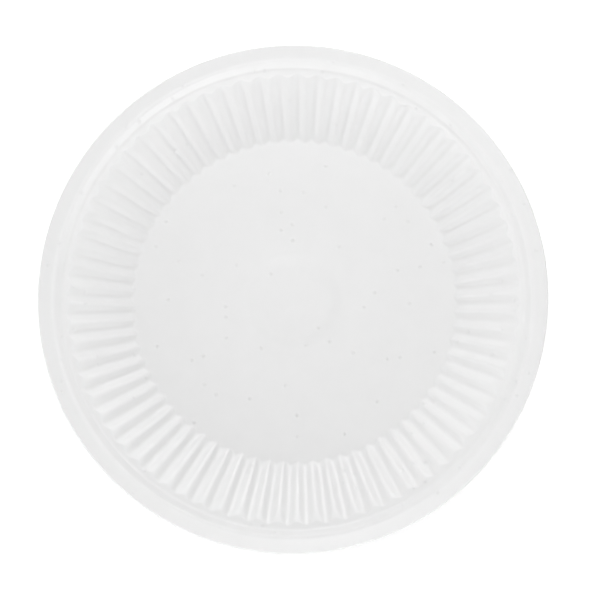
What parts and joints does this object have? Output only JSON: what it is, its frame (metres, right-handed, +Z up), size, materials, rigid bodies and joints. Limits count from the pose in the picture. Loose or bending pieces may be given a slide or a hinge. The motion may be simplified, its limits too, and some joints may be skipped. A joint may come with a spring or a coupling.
{
  "type": "disposable plate",
  "caption": "Round shallow disposable plate of thin white formed plastic, with a flat floor, a radially fluted wall, a stepped shoulder and a falling rim with a turned-down edge.",
  "frame": {"origin": "centre of the flat ring that the plate rests on, which is the bottom centre of its bounding box", "axes": "+Z up, along the plate's axis of symmetry and out of its open side; a ridge of the fluted wall lies on +X, and +Y follows from the right-hand rule"},
  "size_m": [0.22, 0.22, 0.0179],
  "materials": {
    "plate_plastic": "satin"
  },
  "bodies": {
    "root": {"plate": "plate_plastic"}
  },
  "joints": []
}
